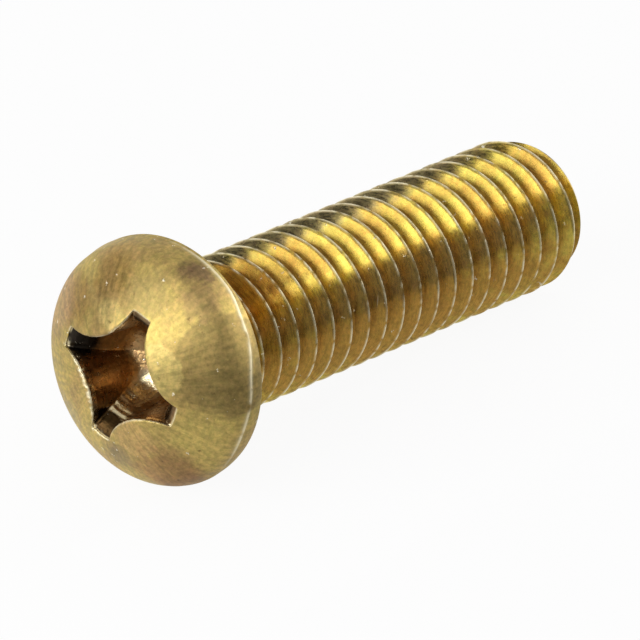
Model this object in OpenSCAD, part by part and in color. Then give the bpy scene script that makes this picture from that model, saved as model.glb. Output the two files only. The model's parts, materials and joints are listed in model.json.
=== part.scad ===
// Brass machine screw with a domed head, a cross recess and a right-hand thread.
// It lies on a level surface, on the rim of its head and on the last turns of its thread.
// All lengths are in millimetres and all angles in degrees.

/* [Head] */
// Diameter of the head
head_d = 9.4; // [7.6:0.1:14]
// Height of the head over the face that bears on the work
head_h = 3.25; // [2.6:0.05:5]
// Height of the upright band round the rim
rim_band = 0.55; // [0.35:0.05:1]
// Radius of the shoulder between the band and the crown
shoulder_r = 1.5; // [0.6:0.1:1.9]
// Break of the edge under the rim
rim_edge = 0.15; // [0.05:0.05:0.3]
// Radius of the round between the head and the neck
under_r = 0.35; // [0.1:0.05:0.8]

/* [Cross recess] */
// Width of the recess across two opposite wings, at the crown
recess_w = 5.5; // [4:0.1:6.4]
// Distance across two opposite lobes, at the crown
lobe_gap = 3.2; // [2.2:0.1:3.8]
// Width of a wing at its end
wing_w = 0.85; // [0.5:0.05:1.2]
// Depth of the recess below the ends of its wings
recess_depth = 2.3; // [1.4:0.1:2.5]
// Slope of the end of a wing, from the axis of the screw
wing_slope = 33; // [15:0.5:36]
// Slope of a lobe, from the axis of the screw
lobe_slope = 3; // [1:0.5:5]
// Slope of the shallow point under the recess, from the axis of the screw
point_slope = 75; // [60:1:85]
// Turn of the wings, from the line that points down
recess_turn = 17; // [0:1:90]

/* [Thread] */
// Outer diameter of the thread
thread_d = 5.9; // [4:0.1:7]
// Distance between turns
pitch = 1; // [0.7:0.05:1.25]
// Width of the flat crest, as a share of the pitch
crest_share = 0.12; // [0.05:0.01:0.2]
// Width of the root, as a share of the pitch
root_share = 0.2; // [0.1:0.01:0.3]
// Depth of the round in the root
root_dip = 0.03; // [0.01:0.01:0.1]
// Length of the shank, from the head to the end
shank_l = 20.8; // [8:0.1:30]
// Length of the plain neck under the head
neck_l = 0.45; // [0.2:0.05:2]
// Place of the crest along the pitch, on the line that points down
crest_phase = 0.2; // [0:0.05:0.95]
// Number of sides in one turn
turn_sides = 36; // [24:4:48]

/* [Tip] */
// Depth of the chamfer at the end, below the crests
tip_cut = 0.375; // [0.1:0.025:1]
// Length of the chamfer at the end
tip_l = 0.9; // [0.3:0.1:1.5]

/* [Hidden] */

// Facets of a round face, and how far one arc overlaps the next where they join
smooth = 180;
arc_overlap = 0.001;

// Head outline: two arcs that meet smoothly, in the half plane of radius and height
head_r = head_d / 2;
shoulder_x = head_r - shoulder_r;
shoulder_rise = head_h - rim_band;
crown_r = (shoulder_x * shoulder_x + shoulder_rise * shoulder_rise - shoulder_r * shoulder_r)
    / (2 * (shoulder_rise - shoulder_r));
crown_z = crown_r - head_h;
// Slope of the line through both arc centres, on which the arcs meet
meet_angle = atan2(crown_z + rim_band, shoulder_x);

// Recess: the wings end on the crown, and the floor runs to a shallow point
wing_r = recess_w / 2;
wing_z = crown_z - sqrt(crown_r * crown_r - wing_r * wing_r);
floor_r = wing_r - recess_depth * tan(wing_slope);
floor_z = wing_z + recess_depth;
// The lobes are round, and leave the width of a wing between neighbours
lobe_x = (lobe_gap - wing_w) / (2 - sqrt(2));
lobe_r = lobe_x - lobe_gap / 2;

// Thread form: flanks at 60 degrees to each other, a narrow flat crest and a rounded root
flank_slope = 30;
crest_r = thread_d / 2;
crest_w = crest_share * pitch;
root_w = root_share * pitch;
flank_w = (pitch - crest_w - root_w) / 2;
root_r = crest_r - flank_w / tan(flank_slope);
deep_r = root_r - root_dip;
neck_r = (crest_r + root_r) / 2;
// Place along the pitch and radius, from the middle of one root to the next
form = [
    [0, deep_r],
    [root_w / 2, root_r],
    [root_w / 2 + flank_w, crest_r],
    [root_w / 2 + flank_w + crest_w, crest_r],
    [pitch - root_w / 2, root_r]
];
// The thread starts inside the neck, and runs past the end before it is trimmed
sunk_z = neck_l / 3;
start_z = neck_l / 2;
start_turn = 360 * ((start_z + pitch / 2) / pitch - crest_phase);
steps = turn_sides * (ceil(shank_l / pitch) + 1);
past_z = start_z + pitch * (steps / turn_sides + 2);
// It rises to its full height in half a turn
fade_steps = turn_sides / 2;
// Round faces start between two sides of the thread
half_side = 180 / turn_sides;

// Rest: the rim of the head and the last full crest touch the surface
tip_r = crest_r - tip_cut;
last_crest = pitch * (floor((shank_l - tip_l) / pitch - crest_phase) + crest_phase);
rest_tilt = atan2(head_r - crest_r, last_crest + crest_w / 2 + rim_edge);
rest_lift = head_r * cos(rest_tilt) - rim_edge * sin(rest_tilt);
// The head reaches furthest at the edge of a lobe, and the end at the top of its rim
lobe_turns = [45 : 90 : 315];
lobe_span = 60;
lobe_edge = [
    for (turn = lobe_turns)
        for (side = [-lobe_span : lobe_span])
            let (
                a = recess_turn + turn,
                x = lobe_x * cos(a) - lobe_r * cos(a + side),
                y = lobe_x * sin(a) - lobe_r * sin(a + side)
            )
            (crown_z - sqrt(crown_r * crown_r - x * x - y * y)) * cos(rest_tilt) - x * sin(rest_tilt)
];
near_x = min(lobe_edge);
far_x = shank_l * cos(rest_tilt) + tip_r * sin(rest_tilt);
middle_x = (near_x + far_x) / 2;

// Half section of the head: the crown arc, the shoulder arc and the upright band
module head_section() {
    reach = 2 * shoulder_r;
    difference() {
        intersection() {
            translate([0, -head_h]) square([head_r, head_h]);
            translate([0, crown_z]) circle(r = crown_r, $fn = smooth);
        }
        // The corner outside the shoulder arc
        translate([shoulder_x, -rim_band]) difference() {
            polygon([
                [0, 0],
                [reach, 0],
                [reach, -reach],
                reach * [cos(meet_angle), -sin(meet_angle)]
            ]);
            circle(r = shoulder_r + arc_overlap, $fn = smooth);
        }
        // The break under the rim
        polygon([
            [head_r - rim_edge, 0],
            [head_r + rim_edge, 0],
            [head_r + rim_edge, -2 * rim_edge]
        ]);
    }
}

// Cross recess: a cone that ends the wings, less four round lobes, over a pointed floor
module recess() {
    reach = 2 * head_h;
    difference() {
        union() {
            translate([0, 0, wing_z - head_h])
                cylinder(
                    r1 = wing_r + head_h * tan(wing_slope),
                    r2 = floor_r,
                    h = head_h + recess_depth,
                    $fn = smooth
                );
            translate([0, 0, floor_z])
                cylinder(r1 = floor_r, r2 = 0, h = floor_r / tan(point_slope), $fn = smooth);
        }
        for (turn = lobe_turns)
            rotate(recess_turn + turn) translate([lobe_x, 0, wing_z - reach])
                cylinder(
                    r1 = lobe_r - reach * tan(lobe_slope),
                    r2 = lobe_r + reach * tan(lobe_slope),
                    h = 2 * reach,
                    $fn = smooth
                );
    }
}

// Half section of the neck, which runs out under the head in a round
module neck_section() {
    difference() {
        translate([0, -rim_band]) square([neck_r + under_r, rim_band + neck_l]);
        translate([neck_r + under_r, under_r - arc_overlap]) circle(r = under_r, $fn = smooth);
        translate([neck_r + arc_overlap, under_r]) square([2 * under_r, neck_l]);
    }
}

module head() {
    difference() {
        union() {
            rotate_extrude($fn = smooth) head_section();
            rotate(start_turn + half_side) rotate_extrude($fn = smooth) neck_section();
        }
        recess();
    }
}

// A point of the thread: its step round the helix, and its place along the form
function thread_point(step, place) =
    let (
        angle = 360 * step / turn_sides,
        r = deep_r + (place[1] - deep_r) * min(1, (step + 1) / fade_steps)
    )
    [r * cos(angle), r * sin(angle), start_z + place[0] + pitch * step / turn_sides];

function ring_points(r, z) = [
    for (side = [0 : turn_sides - 1])
        let (angle = 360 * side / turn_sides)
            [r * cos(angle), r * sin(angle), z]
];

// Points run line by line along the helix. The root line is one turn longer than the
// others, because it closes the last strip of each turn.
root_points = steps + turn_sides + 1;
lines = len(form);
function at(line, step) =
    line == 0 ? step
    : line == lines ? step + turn_sides
    : root_points + (line - 1) * (steps + 1) + step;
low_ring = root_points + (lines - 1) * (steps + 1);
high_ring = low_ring + turn_sides;
function low(side) = low_ring + side % turn_sides;
function high(side) = high_ring + side % turn_sides;

// The thread with its core is one closed skin, with a flat disc at each end
module thread() {
    polyhedron(
        points = [
            for (step = [0 : root_points - 1]) thread_point(step, form[0]),
            for (line = [1 : lines - 1]) for (step = [0 : steps]) thread_point(step, form[line]),
            each ring_points(deep_r, sunk_z),
            each ring_points(deep_r, past_z)
        ],
        faces = [
            for (line = [0 : lines - 1]) for (step = [0 : steps - 1]) each [
                [at(line, step), at(line + 1, step), at(line + 1, step + 1)],
                [at(line, step), at(line + 1, step + 1), at(line, step + 1)]
            ],
            // The radial faces in which the form starts and ends
            [for (line = [lines : -1 : 0]) at(line, 0)],
            [for (line = [0 : lines]) at(line, steps)],
            // The core below the form
            for (side = [0 : turn_sides - 2]) each [
                [low(side), at(0, side), at(0, side + 1)],
                [low(side), at(0, side + 1), low(side + 1)]
            ],
            [low(turn_sides - 1), at(0, turn_sides - 1), at(0, turn_sides), at(0, 0), low(0)],
            // The core above the form
            [at(0, steps), at(0, steps + turn_sides), high(0), high(1), at(0, steps + 1)],
            for (side = [1 : turn_sides - 1]) each [
                [at(0, steps + side), high(side), high(side + 1)],
                [at(0, steps + side), high(side + 1), at(0, steps + side + 1)]
            ],
            [for (side = [0 : turn_sides - 1]) low(side)],
            [for (side = [turn_sides - 1 : -1 : 0]) high(side)]
        ]
    );
}

// All that is inside the chamfer and the flat end
module tip_envelope() {
    outer_r = 2 * crest_r;
    rotate_extrude($fn = smooth)
        polygon([
            [0, sunk_z - pitch],
            [outer_r, sunk_z - pitch],
            [outer_r, shank_l - tip_l * (outer_r - tip_r) / tip_cut],
            [tip_r, shank_l],
            [0, shank_l]
        ]);
}

// The thread starts where its crest leaves the neck
module shank() {
    rotate(start_turn) intersection() {
        thread();
        rotate(half_side) tip_envelope();
    }
}

module screw() {
    color([0.72, 0.58, 0.28])
        translate([-middle_x, 0, rest_lift])
            rotate([0, 90 + rest_tilt, 0]) {
                head();
                shank();
            }
}

screw();
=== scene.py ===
"""A brass machine screw with a domed head, a worn cross recess and a rolled thread.

The screw is modelled standing on its own axis in millimetres, then laid down at rest where
the frame says. In its own axes the bearing face is at height 0, the crown is below it and the
point above it, and +X points to the floor once the screw lies down.
"""

import json
import logging
import math
from bisect import bisect
from dataclasses import dataclass, field
from enum import Enum

import bmesh
import bpy
from mathutils import Matrix, Vector, noise

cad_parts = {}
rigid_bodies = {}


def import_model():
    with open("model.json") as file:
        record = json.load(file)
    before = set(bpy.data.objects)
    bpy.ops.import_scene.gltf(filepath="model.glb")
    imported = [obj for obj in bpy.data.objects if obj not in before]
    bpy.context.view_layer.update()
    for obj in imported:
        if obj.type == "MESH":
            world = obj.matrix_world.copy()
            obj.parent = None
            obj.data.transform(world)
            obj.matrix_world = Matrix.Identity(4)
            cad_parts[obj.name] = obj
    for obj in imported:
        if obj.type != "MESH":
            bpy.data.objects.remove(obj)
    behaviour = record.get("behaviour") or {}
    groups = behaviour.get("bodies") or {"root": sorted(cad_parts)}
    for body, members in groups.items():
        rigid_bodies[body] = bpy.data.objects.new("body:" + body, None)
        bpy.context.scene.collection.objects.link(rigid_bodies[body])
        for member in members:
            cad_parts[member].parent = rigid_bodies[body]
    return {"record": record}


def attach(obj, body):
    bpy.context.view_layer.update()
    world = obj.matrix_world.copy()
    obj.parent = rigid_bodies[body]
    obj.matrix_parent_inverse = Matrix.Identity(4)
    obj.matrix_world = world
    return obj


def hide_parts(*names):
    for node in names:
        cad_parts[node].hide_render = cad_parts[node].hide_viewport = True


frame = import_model()

LOG = logging.getLogger("screw")
MM = 0.001
TURN = 2 * math.pi
WELD = 0.0005

Pair = tuple[float, float]


class Zone(Enum):
    """Part of the screw that has a finish of its own, by the number of its material."""

    HEAD = 0
    THREAD = 1
    RECESS = 2


class Join(Enum):
    """How one closed solid is joined with another."""

    ADD = "UNION"
    KEEP_INSIDE = "INTERSECT"


def deselect_all() -> None:
    """Leave object mode with nothing selected."""
    if bpy.context.object and bpy.context.object.mode != "OBJECT":
        bpy.ops.object.mode_set(mode="OBJECT")
    bpy.ops.object.select_all(action="DESELECT")


def make_active(piece: bpy.types.Object) -> None:
    """Select one piece alone and make it the active one.

    Args:
        piece: The object to work on.
    """
    deselect_all()
    piece.select_set(True)
    bpy.context.view_layer.objects.active = piece


def blend(low: float, high: float, share: float) -> float:
    """Return the value that lies the given share of the way from low to high."""
    return low + (high - low) * share


def rising(low: float, high: float, value: float) -> float:
    """Ease from 0 at low to 1 at high.

    Args:
        low: Value at which the step starts.
        high: Value at which the step ends.
        value: Value to ease.

    Returns:
        A share from 0 to 1.
    """
    share = min(1.0, max(0.0, (value - low) / (high - low)))
    return share * share * (3 - 2 * share)


def falling(low: float, high: float, value: float) -> float:
    """Ease from 1 at low to 0 at high."""
    return 1 - rising(low, high, value)


def arc(steps: int, first: float = 0.0, last: float = math.pi / 2) -> list[float]:
    """Return even angles from first to last, with both of them."""
    return [blend(first, last, step / steps) for step in range(steps + 1)]


def heading(angle: float) -> Vector:
    """Return the flat direction at an angle from +X, in radians."""
    return Vector((math.cos(angle), math.sin(angle), 0))


def bearing(place: Vector) -> float:
    """Return the direction of a place from the axis, in degrees from -180 to 180."""
    return math.degrees(math.atan2(place.y, place.x))


def even_ring(columns: int, radius: float, height: float, first: float) -> list[Vector]:
    """Draw a round ring whose columns are evenly spaced.

    Args:
        columns: Number of places in the ring.
        radius: Distance from the axis.
        height: Height along the axis.
        first: Direction of the first place, in radians.

    Returns:
        One place for each column.
    """
    ring = []
    for index in range(columns):
        angle = first + TURN * index / columns
        ring.append(Vector((radius * math.cos(angle), radius * math.sin(angle), height)))
    return ring


def weld(piece: bpy.types.Object) -> None:
    """Merge the doubles of a piece and turn its faces outwards.

    Args:
        piece: The object to work on.
    """
    make_active(piece)
    bpy.ops.object.mode_set(mode="EDIT")
    bpy.ops.mesh.select_all(action="SELECT")
    bpy.ops.mesh.remove_doubles(threshold=WELD)
    bpy.ops.mesh.normals_make_consistent(inside=False)
    bpy.ops.object.mode_set(mode="OBJECT")


def join_solids(piece: bpy.types.Object, other: bpy.types.Object, how: Join) -> None:
    """Join another closed solid into a piece and remove the other one.

    Args:
        piece: The solid that is kept.
        other: The solid that is used up.
        how: Whether the two are added, or only what lies in both is kept.
    """
    make_active(piece)
    joint = piece.modifiers.new("join", "BOOLEAN")
    joint.operation = how.value
    joint.solver = "EXACT"
    joint.object = other
    bpy.ops.object.modifier_apply(modifier=joint.name)
    bpy.data.objects.remove(other, do_unlink=True)


class RingSkin:
    """A closed skin drawn out of a circle, ring by ring, with every ring set in code."""

    def __init__(self, name: str, first: list[Vector]) -> None:
        """Add the first circle and cap it.

        Args:
            name: Name of the new object.
            first: Places of the first ring, one for each column.
        """
        deselect_all()
        bpy.ops.mesh.primitive_circle_add(vertices=len(first), radius=1.0, fill_type="NOTHING")
        self.piece = bpy.context.object
        self.piece.name = name
        bpy.ops.object.mode_set(mode="EDIT")
        bpy.context.tool_settings.mesh_select_mode = (True, False, False)
        skin = bmesh.from_edit_mesh(self.piece.data)
        column = skin.verts.layers.int.new("column")
        for index, vertex in enumerate(skin.verts):
            vertex[column] = index
        self._place(first)
        bpy.ops.mesh.edge_face_add()

    def _place(self, ring: list[Vector]) -> None:
        """Move the selected ring to its places.

        Args:
            ring: One place for each column.
        """
        skin = bmesh.from_edit_mesh(self.piece.data)
        column = skin.verts.layers.int["column"]
        for vertex in skin.verts:
            if vertex.select:
                vertex.co = ring[vertex[column]]
        bmesh.update_edit_mesh(self.piece.data)

    def draw(self, rings: list[list[Vector]]) -> None:
        """Extrude the open rim once for each ring.

        Args:
            rings: The rings in order, each with one place for each column.
        """
        for ring in rings:
            bpy.ops.mesh.extrude_edges_move()
            self._place(ring)

    def close(self) -> bpy.types.Object:
        """Close the skin at a point and leave edit mode.

        Returns:
            The finished object, with its faces outwards.
        """
        bpy.ops.mesh.merge(type="CENTER")
        bpy.ops.mesh.select_all(action="SELECT")
        bpy.ops.mesh.normals_make_consistent(inside=False)
        bpy.ops.object.mode_set(mode="OBJECT")
        return self.piece


@dataclass
class Rest:
    """Where the screw lies, read from the frame's mounts."""

    axis: Vector = field(init=False)
    seat: Vector = field(init=False)

    def __post_init__(self) -> None:
        """Read the axis and the middle of the bearing face."""
        mounts = {mount["name"]: mount for mount in frame["record"]["mounts"]}
        on_axis = Vector(mounts["thread"]["pos_m"])
        in_recess = Vector(mounts["drive_recess"]["pos_m"])
        self.axis = (on_axis - in_recess).normalized()
        on_face = Vector(mounts["bearing_face"]["pos_m"])
        self.seat = on_axis + self.axis * (on_face - on_axis).dot(self.axis)

    def turn(self) -> Matrix:
        """Work out the rotation that lays the standing screw down.

        Returns:
            The rotation.
        """
        across = Vector((0, 1, 0))
        down = across.cross(self.axis)
        return Matrix((down, across, self.axis)).transposed()

    def lay(self, piece: bpy.types.Object) -> None:
        """Lay a standing piece down and put its place in its mesh.

        Args:
            piece: The object that was modelled in millimetres on its own axis.
        """
        make_active(piece)
        piece.matrix_world = (
            Matrix.Translation(self.seat) @ self.turn().to_4x4() @ Matrix.Scale(MM, 4)
        )
        bpy.ops.object.transform_apply(location=True, rotation=True, scale=True)


@dataclass
class Recess:
    """The cross recess: four sloping wings and the four round lobes between them.

    Tuples of four go by quarter, from the wing at the recess's turn on. Depths count from the
    ends of the wings, and lips are the widths of the worn edge.
    """

    turn: float = 17.0
    wing_r: tuple[float, ...] = (2.68, 2.75, 2.75, 2.7)
    wing_w: float = 0.85
    wing_slope: tuple[float, ...] = (36.0, 33.0, 33.0, 33.0)
    rough_wing: int = 0
    chatter: float = 0.014
    chatter_step: float = 0.19
    chatter_rise: Pair = (0.85, 1.05)
    lobe_near: tuple[float, ...] = (1.34, 1.6, 1.6, 1.58)
    lobe_slope: float = 3.0
    flutes: tuple[float, ...] = (0.045, 0.012, 0.012, 0.018)
    flute_scale: float = 14.0
    flute_fade: float = 0.85
    flute_depth: float = 0.5
    depth: float = 2.3
    wall_share: float = 0.78
    floor_r: float = 0.8
    floor_dip: float = 0.25
    point_r: float = 0.04
    lobe_lip: tuple[float, ...] = (0.12, 0.26, 0.4, 0.12)
    wing_lip: float = 0.09
    wing_steps: int = 9
    lobe_steps: int = 72
    lip_steps: int = 6
    wall_steps: int = 40
    floor_steps: int = 6
    corner_passes: int = 2

    def __post_init__(self) -> None:
        """Work out how many columns the plan has."""
        self.quarter_columns = 2 * self.wing_steps + self.lobe_steps
        self.columns = 4 * self.quarter_columns

    def _lobe(self, lobe: int, depth: float) -> tuple[float, float]:
        """Give the circle that stands for one lobe at a depth.

        Args:
            lobe: Which lobe.
            depth: Distance below the ends of the wings.

        Returns:
            The distance of the circle's middle from the axis, and its radius.
        """
        near = self.lobe_near[lobe]
        middle = (2 * near - self.wing_w) / (2 - math.sqrt(2))
        return middle, middle - near + depth * math.tan(math.radians(self.lobe_slope))

    def _corner(self, lobe: int, wing: int, depth: float) -> tuple[float, float]:
        """Find where a lobe meets the end of a wing.

        Args:
            lobe: Which lobe.
            wing: Which wing.
            depth: Distance below the ends of the wings.

        Returns:
            The angle from the lobe's middle line, and the distance from the axis.
        """
        middle, radius = self._lobe(lobe, depth)
        reach = self.wing_r[wing] - depth * math.tan(math.radians(self.wing_slope[wing]))
        if wing == self.rough_wing:
            swell = self.chatter * rising(*self.chatter_rise, depth)
            reach += swell * math.sin(TURN * depth / self.chatter_step)
        share = (reach**2 + middle**2 - radius**2) / (2 * reach * middle)
        return math.acos(min(1.0, share)), reach

    def _quarter(self, lobe: int, depth: float) -> list[Vector]:
        """Draw the plan from the middle of one wing's end to the middle of the next.

        Args:
            lobe: The lobe between the two wings.
            depth: Distance below the ends of the wings.

        Returns:
            One flat point for each column of the quarter.
        """
        first = math.radians(self.turn + 90 * lobe)
        last = math.radians(self.turn + 90 * (lobe + 1))
        lobe_line = first + math.pi / 4
        near_angle, near_reach = self._corner(lobe, lobe, depth)
        far_angle, far_reach = self._corner(lobe, (lobe + 1) % 4, depth)
        centre = self._lobe(lobe, depth)[0] * heading(lobe_line)
        start = near_reach * heading(lobe_line - near_angle) - centre
        end = far_reach * heading(lobe_line + far_angle) - centre
        sweep = start.angle(end)
        points = []
        for step in range(self.wing_steps):
            angle = blend(first, lobe_line - near_angle, step / self.wing_steps)
            points.append(near_reach * heading(angle))
        for step in range(self.lobe_steps):
            points.append(centre + Matrix.Rotation(-sweep * step / self.lobe_steps, 3, "Z") @ start)
        for step in range(self.wing_steps):
            angle = blend(lobe_line + far_angle, last, step / self.wing_steps)
            points.append(far_reach * heading(angle))
        return points

    def _soften(self, points: list[Vector]) -> list[Vector]:
        """Round the corners of a closed line by moving its points towards their neighbours.

        Args:
            points: The points in order.

        Returns:
            The rounded line, with as many points.
        """
        count = len(points)
        for _ in range(self.corner_passes):
            points = [
                (points[index - 1] + 2 * points[index] + points[(index + 1) % count]) / 4
                for index in range(count)
            ]
        return points

    def outline(self, depth: float) -> list[Vector]:
        """Draw the plan of the recess at one depth, with the flutes that drivers have worn.

        Args:
            depth: Distance below the ends of the wings.

        Returns:
            One flat point for each column, starting in the middle of the first wing.
        """
        points = []
        for quarter in range(4):
            points += self._quarter(quarter, depth)
        left = 1 - self.flute_fade * rising(0, self.flute_depth, depth)
        fluted = []
        for index, point in enumerate(self._soften(points)):
            flute = left * self.flutes[index // self.quarter_columns]
            wave = noise.noise(point.normalized() * self.flute_scale)
            fluted.append(point * (1 + flute * wave / point.length))
        return fluted

    def lip(self, column: int) -> float:
        """Find how wide the worn edge is, which is widest on the nose of a lobe.

        Args:
            column: Number of the column.

        Returns:
            The width in millimetres.
        """
        quarter, place = divmod(column, self.quarter_columns)
        nose = math.sin(math.pi * place / self.quarter_columns) ** 2
        return blend(self.wing_lip, self.lobe_lip[quarter], nose)

    def lip_at(self, angle: float) -> float:
        """Return about how wide the worn edge is in a direction, in degrees."""
        return self.lip(int(((angle - self.turn) % 360) / 360 * self.columns))


@dataclass
class RimWear:
    """The crease worn round the rim, and the bevel above one part of it.

    The crease is given by directions in degrees and heights below the bearing face. Its rings
    are given by their height above it and their share of the dent.
    """

    crease: tuple[Pair, ...] = (
        (-180.0, -0.3), (-145.0, -0.25), (-122.0, -0.48), (-97.0, -0.78), (-70.0, -0.9),
        (-30.0, -0.75), (40.0, -0.45), (180.0, -0.3),
    )
    rings: tuple[Pair, ...] = (
        (0.16, 0.0), (0.08, 1.0), (0.03, 0.0), (-0.03, 0.0), (-0.08, 1.0), (-0.2, 0.0),
    )
    ring_limits: Pair = (-1.1, -0.17)
    dent: float = 0.02
    bevel: float = 0.11
    bevel_turn: float = -75.0
    bevel_reach: Pair = (20.0, 65.0)

    def crease_height(self, angle: float) -> float:
        """Find how high the crease runs in a direction.

        Args:
            angle: Direction from the axis, in degrees from -180 to 180.

        Returns:
            The height, below the bearing face.
        """
        for (low, low_height), (high, high_height) in zip(self.crease, self.crease[1:]):
            if angle <= high:
                return blend(low_height, high_height, rising(low, high, angle))
        return self.crease[-1][1]

    def bevel_at(self, place: Vector, height: float) -> float:
        """Find how much is worn off the rim, between the crease and the bearing face.

        Args:
            place: A place in the same direction.
            height: Height below the bearing face.

        Returns:
            The depth of the bevel.
        """
        angle = bearing(place)
        most = self.bevel * falling(*self.bevel_reach, abs(angle - self.bevel_turn))
        return most * rising(self.crease_height(angle), 0, height)


@dataclass
class Head:
    """The domed head with its cross recess and the neck under it.

    The neck ends in a plug of radius sunk_r that reaches sunk_l into the shank. The sound
    shoulder starts where the crown side is shoulder_from away from the bearing face.
    """

    radius: float = 4.695
    height: float = 3.25
    rim_band: float = 0.55
    rim_edge: float = 0.15
    shoulder_r: float = 1.5
    shoulder_from: float = 1.15
    neck_r: float = 2.655
    neck_l: float = 0.45
    sunk_r: float = 1.0
    sunk_l: float = 0.9
    under_r: float = 0.35
    face_share: float = 0.6
    under_steps: int = 8
    edge_steps: int = 4
    shoulder_steps: int = 12
    crown_steps: int = 22
    recess: Recess = field(default_factory=Recess)
    rim_wear: RimWear = field(default_factory=RimWear)

    def __post_init__(self) -> None:
        """Work out the two arcs of the outline and the heights in the recess."""
        self.shoulder_x = self.radius - self.shoulder_r
        rise = self.height - self.rim_band
        self.crown_r = (self.shoulder_x**2 + rise**2 - self.shoulder_r**2) / (
            2 * (rise - self.shoulder_r)
        )
        self.crown_z = self.crown_r - self.height
        self.meet = math.atan2(self.crown_z + self.rim_band, self.shoulder_x)
        self.meet_r = self.shoulder_x + self.shoulder_r * math.cos(self.meet)
        self.wing_z = self.crown_height(sum(self.recess.wing_r) / len(self.recess.wing_r))
        self.floor_z = self.wing_z + self.recess.depth + self.recess.floor_dip

    def crown_height(self, radius: float) -> float:
        """Return the height of the crown at a distance from the axis."""
        return self.crown_z - math.sqrt(self.crown_r**2 - radius**2)

    def _under_crown(self, flat: Vector, depth: float = 0.0) -> Vector:
        """Return the place that lies a depth under the crown at a flat point."""
        return Vector((flat.x, flat.y, self.crown_height(flat.length) + depth))

    def _ring(self, radius: float, height: float) -> list[Vector]:
        """Draw a round ring that starts in the middle of the first wing."""
        return even_ring(self.recess.columns, radius, height, math.radians(self.recess.turn))

    def _under_rings(self) -> list[list[Vector]]:
        """Draw the neck, the round under the head and the bearing face.

        Returns:
            The rings in order.
        """
        rings = [self._ring(self.neck_r, self.neck_l)]
        for angle in arc(self.under_steps):
            rings.append(self._ring(
                self.neck_r + self.under_r * (1 - math.cos(angle)),
                self.under_r * (1 - math.sin(angle)),
            ))
        rings.append(self._ring(blend(self.neck_r, self.radius, self.face_share), 0))
        return rings

    def _rim_rings(self) -> list[list[Vector]]:
        """Draw the rim with its crease, and the shoulder.

        Returns:
            The rings in order.
        """
        rings = []
        for angle in arc(self.edge_steps):
            ring = self._ring(
                self.radius - self.rim_edge * (1 - math.sin(angle)),
                -self.rim_edge * (1 - math.cos(angle)),
            )
            for place in ring:
                place.xy *= 1 - self.rim_wear.bevel_at(place, place.z) / self.radius
            rings.append(ring)
        rings += [self._crease_ring(offset, share) for offset, share in self.rim_wear.rings]
        first = math.asin((self.shoulder_from - self.rim_band) / self.shoulder_r)
        for angle in arc(self.shoulder_steps, first, self.meet):
            rings.append(self._ring(
                self.shoulder_x + self.shoulder_r * math.cos(angle),
                -self.rim_band - self.shoulder_r * math.sin(angle),
            ))
        return rings

    def _side_radius(self, height: float) -> float:
        """Return the radius of the rim or the shoulder at a height below the face."""
        over = max(0.0, -height - self.rim_band)
        return self.shoulder_x + math.sqrt(self.shoulder_r**2 - over**2)

    def _crease_ring(self, offset: float, share: float) -> list[Vector]:
        """Draw a ring beside the worn crease.

        Args:
            offset: Height above the crease.
            share: How much of the crease's dent the ring has.

        Returns:
            One place for each column.
        """
        lowest, highest = self.rim_wear.ring_limits
        ring = []
        for place in self._ring(1.0, 0):
            height = self.rim_wear.crease_height(bearing(place)) + offset
            height = min(highest, max(lowest, height))
            worn = share * self.rim_wear.dent + self.rim_wear.bevel_at(place, height)
            radius = self._side_radius(height) - worn
            ring.append(Vector((radius * place.x, radius * place.y, height)))
        return ring

    def _crown_rings(self) -> list[list[Vector]]:
        """Draw the crown, which changes from round to the recess's plan.

        Returns:
            The rings in order.
        """
        edge = self.recess.outline(0)
        outer = self._ring(self.meet_r, 0)
        rings = []
        for step in range(1, self.crown_steps):
            ring = []
            for index, point in enumerate(edge):
                inner = point + point.normalized() * self.recess.lip(index)
                flat = inner.lerp(outer[index], 1 - step / self.crown_steps)
                ring.append(self._under_crown(flat))
            rings.append(ring)
        return rings

    def _lip_rings(self) -> list[list[Vector]]:
        """Draw the recess's worn edge.

        Returns:
            The rings in order.
        """
        edge = self.recess.outline(0)
        rings = []
        for angle in arc(self.recess.lip_steps):
            ring = []
            for index, point in enumerate(edge):
                lip = self.recess.lip(index)
                flat = point + point.normalized() * lip * (1 - math.sin(angle))
                ring.append(self._under_crown(flat, lip * (1 - math.cos(angle))))
            rings.append(ring)
        return rings

    def _wall_rings(self) -> list[list[Vector]]:
        """Draw the recess's walls, from the worn edge to the floor.

        Returns:
            The rings in order.
        """
        tops = [
            self._under_crown(point, self.recess.lip(index)).z
            for index, point in enumerate(self.recess.outline(0))
        ]
        rings = []
        for step in range(1, self.recess.wall_steps + 1):
            share = step / self.recess.wall_steps
            depth = self.recess.depth * self.recess.wall_share * share
            rings.append([
                Vector((point.x, point.y, blend(top, self.wing_z + depth, share)))
                for point, top in zip(self.recess.outline(depth), tops)
            ])
        return rings

    def _floor_rings(self, foot: list[Vector]) -> list[list[Vector]]:
        """Draw the recess's floor.

        Args:
            foot: The last ring of the walls.

        Returns:
            Rings that change from the foot's plan to a small round one.
        """
        rings = []
        for step in range(1, self.recess.floor_steps + 1):
            share = step / self.recess.floor_steps
            target = self._ring(self.recess.floor_r * (1 - share) + self.recess.point_r, 0)
            ring = []
            for index, place in enumerate(foot):
                flat = Vector((place.x, place.y, 0)).lerp(target[index], rising(0, 1, share))
                height = blend(place.z, self.floor_z, math.sin(share * math.pi / 2))
                ring.append(Vector((flat.x, flat.y, height)))
            rings.append(ring)
        return rings

    def build(self) -> bpy.types.Object:
        """Model the head as one closed solid on its own axis.

        Returns:
            The head, in millimetres.
        """
        walls = self._wall_rings()
        skin = RingSkin("head", self._ring(self.sunk_r, self.neck_l + self.sunk_l))
        skin.draw(self._under_rings() + self._rim_rings() + self._crown_rings())
        skin.draw(self._lip_rings() + walls + self._floor_rings(walls[-1]))
        head = skin.close()
        LOG.info("head: %d faces", len(head.data.polygons))
        return head


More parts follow.
